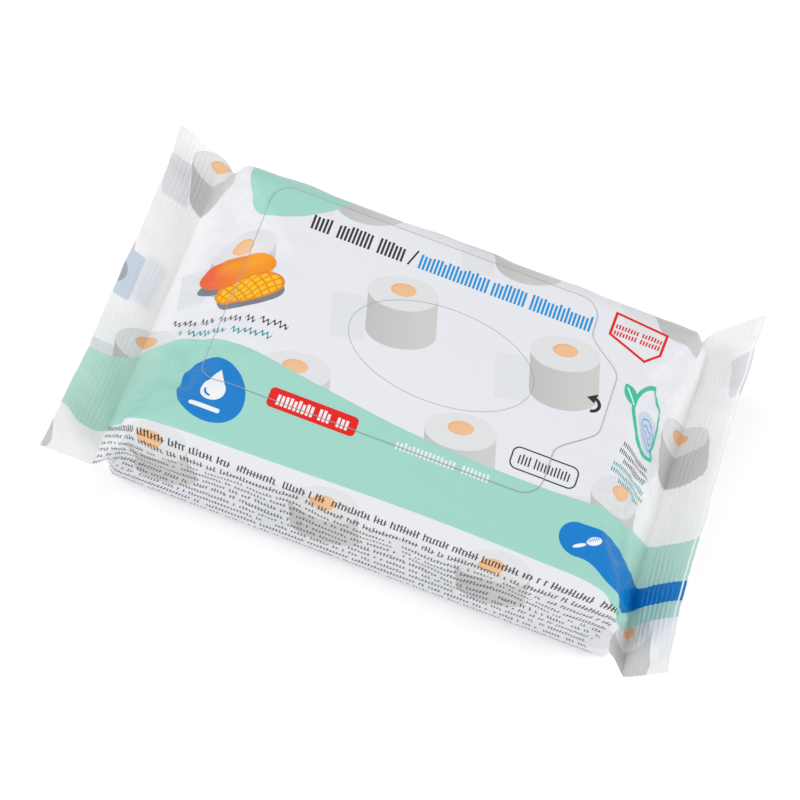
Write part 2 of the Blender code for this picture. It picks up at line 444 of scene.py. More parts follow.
def least(a, b):
    return work(a.tree, "MINIMUM", a, b)


def most(a, b):
    return work(a.tree, "MAXIMUM", a, b)


def newTree(name, kind, inputs, outputs):
    # inputs and outputs are (name, socket type) or (name, socket type, value)
    tree = bpy.data.node_groups.new(name, kind)
    for way, sockets in (("INPUT", inputs), ("OUTPUT", outputs)):
        for label, socketType, *value in sockets:
            made = tree.interface.new_socket(label, in_out=way, socket_type=socketType)
            if value:
                made.default_value = value[0]
    given = tree.nodes.new("NodeGroupInput")
    result = tree.nodes.new("NodeGroupOutput")
    return tree, given, result


def place(tree, group, *values):
    node = tree.nodes.new("ShaderNodeGroup")
    node.node_tree = group
    for socket, value in zip(node.inputs, values):
        feed(tree, value, socket)
    return node


# Crimps, waves and folds of the film

def filmReliefTree(surface):
    sizes = [(label, "NodeSocketFloat", value) for label, value in relief.items() if label != "Seed"]
    tree, given, result = newTree(
        "filmRelief",
        "GeometryNodeTree",
        [("Film", "NodeSocketGeometry"), *sizes, ("Seed", "NodeSocketInt", relief["Seed"])],
        [("Film", "NodeSocketGeometry")],
    )
    size = {label: Number(tree, given.outputs[label]) for label in relief}

    def attribute(name, kind="FLOAT"):
        node = tree.nodes.new("GeometryNodeInputNamedAttribute")
        node.data_type = kind
        node.inputs["Name"].default_value = name
        return node.outputs["Attribute"]

    past = Number(tree, attribute("pastRoot"))
    turn = (past - size["Crimp Margin"]) / size["Crimp Pitch"] * (2 * math.pi)
    starts = work(tree, "MULTIPLY", past - size["Crimp Margin"], 1600, clamp=True)
    ends = work(tree, "MULTIPLY", size["Crimp End"] - past, 1600, clamp=True)
    ribs = work(tree, "COSINE", turn) * size["Crimp Depth"] * 0.5 * starts * ends
    ribs = ribs * Number(tree, attribute("crimpShare"))

    # the noise reads the place in space, so that both skins of a fin move as one
    spot = tree.nodes.new("ShaderNodeSeparateXYZ")
    tree.links.new(tree.nodes.new("GeometryNodeInputPosition").outputs[0], spot.inputs[0])
    x, y, z = [Number(tree, socket) for socket in spot.outputs]

    def roughness(alongSize, acrossSize, shift, detail):
        joined = tree.nodes.new("ShaderNodeCombineXYZ")
        offset = size["Seed"] * 7.3 + shift
        spots = (x / alongSize + offset, y / acrossSize, z / acrossSize)
        for value, socket in zip(spots, joined.inputs):
            feed(tree, value, socket)
        noise = tree.nodes.new("ShaderNodeTexNoise")
        tree.links.new(joined.outputs[0], noise.inputs["Vector"])
        noise.inputs["Scale"].default_value = 1
        noise.inputs["Detail"].default_value = detail
        return (Number(tree, noise.outputs[0]) - 0.5) * 2

    waves = roughness(size["Wave Length"], size["Wave Length"] * 0.8, 0, 1) * size["Wave Depth"]
    folds = roughness(size["Fold Length"], size["Fold Width"], 3.1, 2) * size["Fold Depth"]
    lift = ribs + waves * Number(tree, attribute("wave")) + folds * Number(tree, attribute("fold"))

    scaled = tree.nodes.new("ShaderNodeVectorMath")
    scaled.operation = "SCALE"
    tree.links.new(attribute("push", "FLOAT_VECTOR"), scaled.inputs[0])
    feed(tree, lift, scaled.inputs["Scale"])
    moved = tree.nodes.new("GeometryNodeSetPosition")
    tree.links.new(given.outputs["Film"], moved.inputs["Geometry"])
    tree.links.new(scaled.outputs[0], moved.inputs["Offset"])
    realised = tree.nodes.new("GeometryNodeRealizeInstances")
    tree.links.new(moved.outputs[0], realised.inputs[0])
    dressed = tree.nodes.new("GeometryNodeSetMaterial")
    dressed.inputs["Material"].default_value = surface
    tree.links.new(realised.outputs[0], dressed.inputs["Geometry"])
    tree.links.new(dressed.outputs[0], result.inputs["Film"])
    return tree


def pressRelief(made, surface):
    tree = filmReliefTree(surface)
    modifier = made.modifiers.new("film relief", "NODES")
    modifier.node_group = tree
    for item in tree.interface.items_tree:
        if item.in_out == "INPUT" and item.name in relief:
            modifier[item.identifier] = relief[item.name]
    bpy.context.view_layer.update()
    graph = bpy.context.evaluated_depsgraph_get()
    pressed = made.evaluated_get(graph)
    mesh = bpy.data.meshes.new_from_object(pressed, preserve_all_data_layers=True, depsgraph=graph)
    made.modifiers.clear()
    made.data = mesh
    mesh.name = made.name


# The closure label

label = {
    "left": -72 * mm,
    "right": 54.5 * mm,
    "width": 86.5 * mm,
    "centreY": 11.5 * mm,
    "cornerRadius": 8 * mm,
    "tabReach": 13.5 * mm,
    "tabHalfWidth": 27 * mm,
    "tabShift": 3 * mm,
    "tabFullness": 1.7,
    "gap": 0.1 * mm,
    "thickness": 0.14 * mm,
    "grid": 1.5 * mm,
}


def labelOutline():
    half, radius = label["width"] / 2, label["cornerRadius"]
    left, right = label["left"], label["right"]
    corners = [
        (left + radius, -half + radius, 180),
        (right - radius, -half + radius, 270),
        (right - radius, half - radius, 0),
        (left + radius, half - radius, 90),
    ]
    points = []
    for number, (x, y, start) in enumerate(corners):
        angles = np.radians(np.linspace(start, start + 90, 12))
        points += [(x + radius * math.cos(angle), y + radius * math.sin(angle)) for angle in angles]
        if number == 1:
            for y in np.linspace(-label["tabHalfWidth"], label["tabHalfWidth"], 60)[1:-1]:
                swell = smooth(label["tabFullness"] * (1 - abs(y) / label["tabHalfWidth"]))
                points.append((right + label["tabReach"] * float(swell), y + label["tabShift"]))
    return np.array(points) + [0, label["centreY"]]


def evenLoop(corners, step):
    closed = np.concatenate([corners, corners[:1]])
    runs = np.concatenate([[0], np.cumsum(np.hypot(*np.diff(closed, axis=0).T))])
    places = np.linspace(0, runs[-1], int(runs[-1] / step) + 1)[:-1]
    return np.stack([np.interp(places, runs, closed[:, i]) for i in (0, 1)], axis=1)


def distanceToLoop(points, loop):
    # distance of each point from a closed line, and whether it lies inside
    starts, ends = loop, np.roll(loop, -1, axis=0)
    way = ends - starts
    fromStart = points[:, None] - starts[None]
    share = np.clip((fromStart * way).sum(-1) / (way * way).sum(-1), 0, 1)
    apart = np.linalg.norm(fromStart - share[..., None] * way, axis=-1).min(axis=1)
    above = (starts[:, 1] > points[:, None, 1]) != (ends[:, 1] > points[:, None, 1])
    rise = np.where(way[:, 1] == 0, 1e-12, way[:, 1])
    crossing = starts[:, 0] + (points[:, None, 1] - starts[:, 1]) / rise * way[:, 0]
    inside = (above & (points[:, None, 0] < crossing)).sum(axis=1) % 2 == 1
    return apart, inside


def labelPlan():
    # flat points and triangles of the label, with each point's distance from the rim
    rim = evenLoop(labelOutline(), label["grid"])
    low, high = rim.min(axis=0), rim.max(axis=0)
    lines = [np.arange(a, b, label["grid"]) for a, b in zip(low, high)]
    grid = np.stack(np.meshgrid(*lines), -1).reshape(-1, 2)
    apart, inside = distanceToLoop(grid, rim)
    fine = evenLoop(labelOutline(), label["grid"] / 2)
    inner = grid[inside & (apart > 0.6 * label["grid"])]
    edges = [(i, (i + 1) % len(rim)) for i in range(len(rim))]
    flat = [Vector(p) for p in np.concatenate([rim, inner])]
    spots, _, faces, *_ = geometry.delaunay_2d_cdt(flat, edges, [], 1, 1e-7)
    spots = np.array(spots)
    return spots, faces, len(rim), distanceToLoop(spots, fine)[0]


def makeLabel(film, surface):
    spots, faces, rimCount, fromRim = labelPlan()
    mesh = film.data
    corners = [vertex.co.copy() for vertex in mesh.vertices]
    normals = [vertex.normal.copy() for vertex in mesh.vertices]
    polygons = [tuple(polygon.vertices) for polygon in mesh.polygons]
    ground = BVHTree.FromPolygons(corners, polygons)
    uv = mesh.uv_layers["film"].uv
    below, above, spotsOnFilm = [], [], []
    for x, y in spots:
        place, _, index, _ = ground.ray_cast(Vector((x, y, 0.1)), Vector((0, 0, -1)))
        shares = interpolate.poly_3d_calc([corners[i] for i in polygons[index]], place)
        normal = sum((normals[i] * share for i, share in zip(polygons[index], shares)), Vector())
        normal.normalize()
        loops = mesh.polygons[index].loop_indices
        spot = sum((uv[i].vector * share for i, share in zip(loops, shares)), Vector((0, 0)))
        spotsOnFilm.append(spot)
        below.append(place + normal * label["gap"])
        above.append(place + normal * (label["gap"] + label["thickness"]))
    count = len(spots)
    low, size = spots.min(axis=0), float(np.ptp(spots[:, 0])) * 1.02
    flat = (spots - low) / size * 0.7 + 0.01
    made = bmesh.new()
    verts = [made.verts.new(place) for place in above + below]
    filmMap, bake = made.loops.layers.uv.new("film"), made.loops.layers.uv.new("OFBake")

    def addFace(numbers, placeOf):
        for loop, number in zip(made.faces.new([verts[i] for i in numbers]).loops, numbers):
            loop[filmMap].uv = spotsOnFilm[number % count]
            loop[bake].uv = placeOf(number)

    # the bake map has the top face below, the under face above it and the rim as a strip beside them
    for face in faces:
        addFace(face, lambda i: (flat[i][0], flat[i][1] * 0.98))
        under = [i + count for i in face[::-1]]
        addFace(under, lambda i: (flat[i - count][0], 0.5 + flat[i - count][1] * 0.98))
    for i in range(rimCount):
        j = (i + 1) % rimCount
        ends = {i: (0.75, i), j: (0.75, i + 1), i + count: (0.76, i), j + count: (0.76, i + 1)}
        rim = [i, i + count, j + count, j]
        addFace(rim, lambda k: (ends[k][0], 0.01 + 0.98 * ends[k][1] / rimCount))
    bmesh.ops.recalc_face_normals(made, faces=made.faces)
    mesh = bpy.data.meshes.new("closureLabel")
    made.to_mesh(mesh)
    made.free()
    mesh.shade_smooth()
    mesh.set_sharp_from_angle(angle=math.radians(50))
    giveAttribute(mesh, "fromRim", np.tile(fromRim, 2))
    mesh.materials.append(surface)
    piece = bpy.data.objects.new("closureLabel", mesh)
    bpy.context.scene.collection.objects.link(piece)
    return piece


# The print. Its sizes are in millimetres of flat film: along the pack from its middle, and across it
# from the middle of the top, towards the back.

inks = {
    "film": (232, 233, 238),
    "mint": (160, 214, 200),
    "blue": (0, 124, 202),
    "red": (226, 24, 8),
    "dark": (34, 34, 38),
    "teal": (0, 146, 156),
    "sky": (0, 146, 222),
    "white": (240, 243, 244),
    "line": (158, 160, 163),
    "leafGreen": (62, 190, 158),
    "rollTop": (225, 226, 228),
    "rollSide": (206, 206, 205),
    "rollSheet": (225, 227, 231),
    "rollCore": (240, 192, 148),
    "fruitSkin": (246, 146, 24),
    "fruitBlush": (236, 98, 52),
    "fruitFlesh": (254, 194, 22),
    "fruitCut": (226, 128, 6),
    "shade": (120, 124, 136),
    "paleBlue": (203, 214, 229),
    "greyBlue": (165, 172, 186),
    # painted light: a paler film colour for where light shines through the thin film off the stack
    "filmLitThrough": (254, 253, 251),
}


def ink(name):
    shares = [value / 255 for value in inks[name]]
    linear = [share / 12.92 if share < 0.04 else ((share + 0.055) / 1.055) ** 2.4 for share in shares]
    return (*linear, 1)


def cover(distance, soft=0.14):
    # 1 where the distance is negative, with a soft edge
    return work(distance.tree, "MULTIPLY_ADD", distance, -1 / soft, 0.5, clamp=True)


def lay(below, above, mask):
    # above and below are ink names or colour sockets
    tree = mask.tree
    node = tree.nodes.new("ShaderNodeMix")
    node.data_type = "RGBA"
    feed(tree, mask, node.inputs[0])
    for colour, socket in ((below, node.inputs[6]), (above, node.inputs[7])):
        feed(tree, ink(colour) if isinstance(colour, str) else colour, socket)
    return node.outputs[2]


def turned(a, b, centre, degrees):
    da, db = a - centre[0], b - centre[1]
    if not degrees:
        return da, db
    cos, sin = math.cos(math.radians(degrees)), math.sin(math.radians(degrees))
    return da * cos + db * sin, db * cos - da * sin


def length(a, b):
    return work(a.tree, "SQRT", work(a.tree, "MULTIPLY_ADD", a, a, b * b))


def disc(a, b, centre, radius):
    return length(a - centre[0], b - centre[1]) - radius


def oval(a, b, centre, radii, degrees=0):
    p, q = turned(a, b, centre, degrees)
    p, q = p / radii[0], q / radii[1]
    near = length(p, q)
    return near * (near - 1) / most(length(p / radii[0], q / radii[1]), 0.0001)


def box(a, b, centre, halves, rounding=0.0, degrees=0):
    p, q = turned(a, b, centre, degrees)
    p, q = abs(p) - (halves[0] - rounding), abs(q) - (halves[1] - rounding)
    if not rounding:
        return most(p, q)
    return length(most(p, 0), most(q, 0)) - rounding


def sides(a, b, corners):
    # a convex outline through its corners, anticlockwise
    inside = None
    for (a0, b0), (a1, b1) in zip(corners, corners[1:] + corners[:1]):
        run = math.hypot(a1 - a0, b1 - b0)
        away = (a * ((b1 - b0) / run) - b * ((a1 - a0) / run)) - (a0 * (b1 - b0) - b0 * (a1 - a0)) / run
        inside = away if inside is None else most(inside, away)
    return inside


def ring(distance, width):
    return abs(distance) - width / 2


def fit(a, points, low, high):
    # a smooth line through (along, across) points, for a between the first and last of them
    tree = a.tree
    first, last = points[0][0], points[-1][0]
    node = tree.nodes.new("ShaderNodeFloatCurve")
    curve = node.mapping.curves[0]
    spots = [((x - first) / (last - first), (y - low) / (high - low)) for x, y in points]
    for spot in spots[1:-1]:
        curve.points.new(*spot)
    curve.points[0].location, curve.points[-1].location = spots[0], spots[-1]
    node.mapping.update()
    feed(tree, (a - first) / (last - first), node.inputs["Value"])
    return Number(tree, node.outputs[0]) * (high - low) + low


def hashOf(a, b):
    tree = a.tree
    joined = tree.nodes.new("ShaderNodeCombineXYZ")
    feed(tree, a, joined.inputs[0])
    feed(tree, b, joined.inputs[1])
    node = tree.nodes.new("ShaderNodeTexWhiteNoise")
    node.noise_dimensions = "2D"
    tree.links.new(joined.outputs[0], node.inputs["Vector"])
    return Number(tree, node.outputs["Value"])


def printGroup(name, extra=(), outputs=(("Color", "NodeSocketColor"), ("Mask", "NodeSocketFloat"))):
    spots = [("Along", "NodeSocketFloat", 0.0), ("Across", "NodeSocketFloat", 0.0)]
    more = [(label, "NodeSocketFloat", value) for label, value in extra]
    tree, given, result = newTree(name, "ShaderNodeTree", spots + more, outputs)
    numbers = [Number(tree, socket) for socket in given.outputs if socket.name]
    return tree, numbers, result


def finishGroup(tree, result, *values):
    for value, socket in zip(values, result.inputs):
        feed(tree, value, socket)
    return tree


def strokeMarks():
    # a word's place filled with upright strokes of uneven height, which stand for lettering
    sizes = (
        ("Start", 0.0), ("End", 10.0), ("Height", 4.0), ("Pitch", 1.2), ("Stroke", 0.6), ("Seed", 0.0),
    )
    tree, (a, b, start, end, height, pitch, stroke, seed), result = printGroup(
        "strokeMarks", sizes, [("Mask", "NodeSocketFloat")]
    )
    run = (a - start) / pitch
    cell = work(tree, "FLOOR", run)
    wide = (abs(work(tree, "FRACT", run) - 0.5)) * pitch - stroke * 0.5
    top = height * (hashOf(cell, seed) * 0.22 + 0.28)
    tall = most(b - top, (height * -0.5) - b)
    strokes = work(tree, "ROUND", (end - start) / pitch)
    word = most(start - a, cell - strokes + 0.5)
    return finishGroup(tree, result, cover(most(most(wide, tall), word)))


def scriptMarks():
    # a joined wavy stroke, which stands for handwriting
    sizes = (("Start", 0.0), ("End", 10.0), ("Height", 2.4), ("Wave", 1.8), ("Stroke", 0.6))
    tree, (a, b, start, end, height, wave, stroke), result = printGroup(
        "scriptMarks", sizes, [("Mask", "NodeSocketFloat")]
    )
    lean = (a - start - b * 0.3) / wave * (2 * math.pi)
    swing = work(tree, "SINE", lean) * 0.7 + work(tree, "SINE", lean * 0.37 + 1) * 0.35
    line = (abs(b - swing * height * 0.5) - stroke * 0.9) * 0.6
    word = abs(a - (start + end) * 0.5) - (end - start) * 0.5
    return finishGroup(tree, result, cover(most(line, word), 0.3))


rolls = {
    "pitch": (62.2, 45.5),
    "first": (-41.1, -16.0),
    "rowShift": 26.1,
    "lean": 14,
    "radii": (12.9, 7.3),
    "height": 16,
    "topDrop": 1.5,
    "coreRadii": (4.7, 2.8),
    "sheetCentre": (-19.3, -14.2),
    "sheetHalves": (6.1, 9.3),
}


def rollPattern():
    tree, (a, b), result = printGroup("rollPattern")
    alongPitch, acrossPitch = rolls["pitch"]
    b = b - rolls["first"][1]
    row = work(tree, "ROUND", (b + 10.5) / acrossPitch)
    b = b - row * acrossPitch
    a = a - rolls["first"][0] - work(tree, "FLOORED_MODULO", row, 2) * rolls["rowShift"]
    a = a - work(tree, "ROUND", (a + 4.5) / alongPitch) * alongPitch
    p, q = turned(a, b, (0, 0), rolls["lean"])
    sideways = p / rolls["radii"][0]
    bulge = work(tree, "SQRT", most(1 - sideways * sideways, 0)) * rolls["radii"][1]
    outside = abs(p) - rolls["radii"][0]
    top = most(abs(q + rolls["topDrop"]) - bulge, outside)
    side = most(abs(q + (rolls["topDrop"] + rolls["height"] / 2)) - bulge - rolls["height"] / 2, outside)
    sheet = box(p, q, rolls["sheetCentre"], rolls["sheetHalves"], 1.2)
    core = oval(p, q, (0, 0), rolls["coreRadii"])
    shadow = cover(p + 3, 22) * 0.35
    colour = lay("rollSheet", lay("rollSide", "line", shadow), cover(side))
    colour = lay(colour, "rollTop", cover(top, 0.3))
    rim = cover(oval(p, q, (0.7, -0.5), rolls["coreRadii"]), 1.2)
    colour = lay(colour, lay("fruitCut", "rollCore", rim * 0.25 + 0.72), cover(core))
    return finishGroup(tree, result, colour, cover(least(least(side, top), sheet)))


band = {
    "upperEdge": [
        (-136, -32), (-122.4, -30.9), (-107.6, -25.8), (-99.7, -18.3), (-85.9, -14), (-73.3, -13.9),
        (-27.4, -20.3), (6.3, -24.8), (42, -26.7), (75.4, -25.8), (97.4, -23.4), (117.7, -21.6),
        (136, -13),
    ],
    "lowerEdge": [
        (-136, -55), (-124.5, -57.3), (-109, -63.6), (-100, -59), (-78, -55.6), (-53.6, -54.6),
        (60, -54),
        (80.9, -55.7), (89, -61), (99.3, -63.8), (116.8, -57), (136, -53),
    ],
    "stripeEnd": ((71.2, -41), 6.5),
    "stripeTop": [
        (64.6, -34.4), (71, -34.5), (85.7, -34.5), (102.5, -39.4), (111.1, -41.6),
        (118.9, -39.6), (136, -36),
    ],
    "stripeFoot": [
        (64.6, -47.4), (71, -47.4), (76.2, -47.9), (84, -53.3), (94.8, -58.2), (103, -56),
        (114.9, -50), (136, -45.5),
    ],
    "brushHandle": ((72.2, -42.9), (2.6, 0.65), 32),
    "brushHead": ((77.0, -39.4), (2.9, 1.5), 32),
}


def waveBand():
    # the mint wave with the blue stripe that starts in a round end
    tree, (a, b), result = printGroup("waveBand")
    upper, lower = fit(a, band["upperEdge"], -80, 0), fit(a, band["lowerEdge"], -80, 0)
    wave = most(b - upper, lower - b)
    top, foot = fit(a, band["stripeTop"], -80, 0), fit(a, band["stripeFoot"], -80, 0)
    stripe = least(most(most(b - top, foot - b), 71 - a), disc(a, b, *band["stripeEnd"]))
    # on the fins the mint is painted paler: painted light shining through the film
    paler = cover(shineThrough["from"] - abs(a), shineThrough["fade"]) * shineThrough["bandShare"]
    colour = lay(lay("mint", "filmLitThrough", paler), "blue", cover(stripe))
    brush = least(oval(a, b, *band["brushHandle"]), oval(a, b, *band["brushHead"]))
    p, q = turned(a, b, band["brushHead"][0], band["brushHead"][2])
    slots = abs(work(tree, "FRACT", p / 0.75) - 0.5) * 0.75 - 0.14
    bristles = most(box(p, q, (0, 0.6), (2.1, 0.55)), slots)
    colour = lay(colour, "white", cover(brush, 0.1) * (1 - cover(bristles, 0.1)))
    return finishGroup(tree, result, colour, cover(wave, 0.2))


fruit = {
    "whole": ((-76, 18), (15.3, 8.0), 15),
    "cut": ((-67.8, 9.8), (13.2, 6.3), 23),
    "shadow": ((-66.6, 7.2), (12.8, 5.6), 23),
    "underWhole": ((-82.5, 9.4), (7.5, 3.2), 2),
    "squares": (2.9, 2.5),
}


def fruitPicture():
    tree, (a, b), result = printGroup("fruitPicture")
    whole, cutHalf = oval(a, b, *fruit["whole"]), oval(a, b, *fruit["cut"])
    shadow = least(oval(a, b, *fruit["shadow"]), oval(a, b, *fruit["underWhole"]))
    p, q = turned(a, b, *fruit["whole"][::2])
    skin = lay("fruitBlush", "fruitSkin", cover(p * -1 - 2, 16))
    skin = lay(skin, "fruitFlesh", cover(oval(p, q, (2, 3.2), (9, 3)), 6) * 0.35)
    p, q = turned(a, b, fruit["cut"][0], 50)
    wide, high = fruit["squares"]
    p, q = p + q * q * 0.02, q + p * p * 0.012
    columns = (0.5 - abs(work(tree, "FRACT", p / wide) - 0.5)) * wide
    pits = least(columns, (0.5 - abs(work(tree, "FRACT", q / high) - 0.5)) * high)
    flesh = lay("fruitFlesh", "fruitCut", cover(pits - 0.28, 0.5))
    flesh = lay(flesh, "fruitCut", cover(cutHalf * -1 - 0.8, 1.4))
    colour = lay("shade", skin, cover(whole))
    colour = lay(colour, flesh, cover(cutHalf))
    return finishGroup(tree, result, colour, cover(least(least(whole, cutHalf), shadow), 0.2))


smallLines = {
    "firstRow": -60.5,
    "rowPitch": 3.75,
    "rows": 10,
    "left": -103,
    "right": 94,
    "letter": 1.2,
}


def smallPrint():
    # rows of short strokes, broken into words, which stand for small lettering
    tree, (a, b), result = printGroup("smallPrint", outputs=[("Mask", "NodeSocketFloat")])
    rowPlace = (smallLines["firstRow"] - b) / smallLines["rowPitch"]
    row = work(tree, "ROUND", rowPlace)
    q = (row - rowPlace) * smallLines["rowPitch"]
    firstRow = cover(row - 0.5, 0.5)
    letter = a / smallLines["letter"] + row * 0.37
    cell = work(tree, "FLOOR", letter)
    chance, tallness = hashOf(cell, row), hashOf(cell + 0.5, row + 31)
    gap = cover(chance - 0.17, 0.01)
    height = 0.74 + firstRow * 0.28
    ascender = cover(0.62 - tallness, 0.01) * 0.5
    tall = most(q - height - ascender, (height * -1) - q)
    stem = abs(work(tree, "FRACT", letter) - 0.3) * smallLines["letter"] - 0.21 - firstRow * 0.05
    bar = abs(q - height * (work(tree, "ROUND", hashOf(cell, row + 7) * 2) - 1) * 0.8) - 0.17
    bar = most(bar, abs(work(tree, "FRACT", letter) - 0.5) - 0.42)
    stroke = least(stem, bar)
    rows = smallLines["rows"]
    inside = most(abs(row - (rows - 1) / 2) - rows / 2, smallLines["left"] - a)
    inside = most(inside, a - smallLines["right"] - tallness * 0.6)
    mask = cover(most(stroke, tall), 0.22) * (1 - gap) * cover(inside)
    return finishGroup(tree, result, mask)


badges = {
    "round": ((-66, -35), (15, 11.75), -46),
    "dropCentre": (-64.6, -35.6),
    "plaque": ((-29.5, -30.5), (16.4, 3.95), 1.9),
    "plaqueWords": [(-42.9, -29), (-27.4, -23), (-20.6, -15.4)],
    "mintWords": [(1.4, 24.4), (26, 36.5)],
    "pill": ((53.3, -19.1), (12.2, 4.35), 2.6),
    "pillWords": [(43.4, 48), (49.4, 63)],
    "pentagon": [(59.8, 53.6), (59.8, 43), (75.4, 36.4), (80.2, 41.7), (79.8, 51.6)],
    "pentagonRows": (47.6, 44.7),
    "leafDiscs": (((90.1, 19.2), 14.0), ((70.2, 11.1), 25.8)),
    "sprigDiscs": (((71.7, 19.4), 6.2), ((77.8, 24.2), 6.2)),
    "leafRows": [("dark", 77.5, 96, 2.2), ("dark", 76.8, 97, -0.8), ("dark", 80, 95, -3.6),
                 ("teal", 76, 98, -6.6), ("teal", 75.6, 98.4, -9.4), ("teal", 80, 96, -12.2)],
    "arrowCentre": (62.3, 12.0),
    "arrowHead": [(59.7, 14.3), (62.9, 12.6), (63.5, 16.9)],
}


def roundBadge():
    # a blue disc with a drop and a bar
    tree, (a, b), result = printGroup("roundBadge")
    middle = badges["dropCentre"]
    tip = [(middle[0] + x, middle[1] + y) for x, y in ((-4.1, 1.4), (4.1, 1.4), (0, 8.6))]
    drop = least(disc(a, b, middle, 4.4), most(sides(a, b, tip), middle[1] - b))
    shine = ring(disc(a, b, middle, 2.7), 0.8)
    shine = most(shine, most(a - middle[0], b - middle[1]))
    bar = box(a, b, (middle[0], middle[1] - 7.6), (5.4, 0.9), 0.8)
    colour = lay("blue", "white", cover(least(most(drop, shine * -1), bar)))
    return finishGroup(tree, result, colour, cover(oval(a, b, *badges["round"])))


def wordRow(tree, group, a, b, words, across, height, pitch, stroke):
    mask = None
    for number, (start, end) in enumerate(words):
        node = place(tree, group, a, b - across, start, end, height, pitch, stroke, number + across)
        own = Number(tree, node.outputs["Mask"])
        mask = own if mask is None else most(mask, own)
    return mask


def plaqueBadge(strokes):
    # a red plaque with white strokes
    tree, (a, b), result = printGroup("plaqueBadge")
    words = wordRow(tree, strokes, a, b, badges["plaqueWords"], badges["plaque"][0][1], 4.6, 1.55, 1.0)
    return finishGroup(tree, result, lay("red", "white", words), cover(box(a, b, *badges["plaque"])))


def outlinedMarks(strokes):
    # the outlined pill, the red pentagon and the bent arrow
    tree, (a, b), result = printGroup("outlinedMarks")
    pill = box(a, b, *badges["pill"])
    words = wordRow(tree, strokes, a, b, badges["pillWords"], badges["pill"][0][1], 4.2, 1.25, 0.55)
    dark = most(words, cover(ring(pill, 0.55)))
    centre = badges["arrowCentre"]
    tail = most(ring(disc(a, b, centre, 2.7), 1.3), centre[0] - a)
    dark = most(dark, cover(least(tail, sides(a, b, badges["arrowHead"]))))
    corners = badges["pentagon"]
    edge = cover(ring(sides(a, b, corners) + 0.5, 1.0))
    red = edge
    for across in badges["pentagonRows"]:
        red = most(red, wordRow(tree, strokes, a, b, [(61.2, 69.8), (71, 78.6)], across, 2.2, 1.1, 0.62))
    return finishGroup(tree, result, lay("dark", "red", red), most(dark, red))


def leafMarks(strokes):
    # a leaf outline with water rings in it, a sprig, and rows of strokes below
    tree, (a, b), result = printGroup("leafMarks")
    leaf = most(*[disc(a, b, *each) for each in badges["leafDiscs"]])
    sprig = most(*[disc(a, b, *each) for each in badges["sprigDiscs"]])
    water = oval(a, b, (89, 14), (7.5, 5), -20)
    ripple = cover(abs(work(tree, "FRACT", water / 2.3) - 0.5) - 0.16, 0.12)
    inner = lay("film", "paleBlue", cover(water - 1.5, 0.6))
    inner = lay(inner, "sky", ripple * cover(water, 0.6) * 0.7)
    colour = lay(inner, "leafGreen", cover(ring(leaf + 0.8, 1.6)))
    colour = lay(colour, "leafGreen", cover(sprig))
    vein = cover(box(a, b, (74.9, 21.4), (3.4, 0.25), 0, -52))
    colour = lay(colour, "white", vein * cover(sprig))
    mask = cover(least(leaf, sprig))
    for shade, start, end, across in badges["leafRows"]:
        words = wordRow(tree, strokes, a, b, [(start, end)], across, 2.0, 0.95, 0.5)
        colour = lay(colour, shade, words)
        mask = most(mask, words)
    return finishGroup(tree, result, colour, mask)


title = {
    "across": 44.2,
    "height": 7.2,
    "darkWords": [(-54.9, -46.8), (-45.2, -31.2), (-29.6, -18.6)],
    "blueWords": [(-13.6, 12.8), (14.4, 27.8), (29.4, 53.4)],
    "slash": ((-16, 44.2), (0.35, 3.8), 0, -17),
}

script = {
    "turn": 5.4,
    "darkLine": ((-95.2, -6.4), [(0, 10), (11.6, 18), (19.8, 29.5), (31, 35), (36.6, 47)], 2.6),
    "tealLine": ((-90.6, -11.6), [(0, 2.4), (4, 21), (23, 38)], 2.4),
}

patches = {
    "mintPatch": [
        (-79.6, 70), (-79.2, 57), (-78.2, 48.5), (-75.4, 42.2), (-70, 40.3), (-60.8, 43), (-53.3, 48),
        (-46.6, 54.2), (-38, 70),
    ],
    "blueBlock": ((-120.6, 6), (3.6, 10.5), 1.2),
    "paleBlock": ((-112.5, 8), (4.6, 11), 2),
    "greyOval": ((-125.5, 5.5), (4, 5.5)),
}


def titleMarks(strokes, scripts):
    tree, (a, b), result = printGroup("titleMarks")
    across, height = title["across"], title["height"]
    dark = wordRow(tree, strokes, a, b, title["darkWords"], across, height, 1.5, 0.86)
    dark = most(dark, cover(box(a, b, *title["slash"])))
    blue = wordRow(tree, strokes, a, b, title["blueWords"], across, height, 1.5, 0.86)
    masks = {}
    for name in ("darkLine", "tealLine"):
        start, words, tall = script[name]
        p, q = turned(a, b, start, script["turn"])
        masks[name] = None
        for first, last in words:
            node = place(tree, scripts, p, q, first, last, tall, 2.1, 0.58)
            own = Number(tree, node.outputs["Mask"])
            masks[name] = own if masks[name] is None else most(masks[name], own)
    white = wordRow(tree, strokes, a, b, badges["mintWords"], -31, 3.6, 1.5, 0.95)
    colour = lay("dark", "sky", blue)
    colour = lay(colour, "teal", masks["tealLine"])
    colour = lay(colour, "white", white)
    mask = most(most(dark, blue), most(masks["darkLine"], masks["tealLine"]))
    return finishGroup(tree, result, colour, most(mask, white * 0.85))


def fieldPatches():
    # plain colour fields near the top edge and on the left fin
    tree, (a, b), result = printGroup("fieldPatches")
    edge = most(most(fit(a, patches["mintPatch"], 30, 80) - b, b - 70), abs(a + 58.8) - 20.8)
    blue = cover(box(a, b, *patches["blueBlock"]), 0.5)
    pale = cover(box(a, b, *patches["paleBlock"]), 3) * 0.45
    grey = cover(oval(a, b, *patches["greyOval"]), 0.4)
    colour = lay("mint", "paleBlue", work(tree, "LESS_THAN", a, -95))
    colour = lay(colour, "greyBlue", grey)
    return finishGroup(tree, result, colour, most(cover(edge, 0.2), most(most(blue, pale), grey)))


def printOver(tree, a, b, colour, groups):
    for group in groups:
        node = place(tree, group, a, b)
        colour = lay(colour, node.outputs["Color"], Number(tree, node.outputs["Mask"]))
    return colour


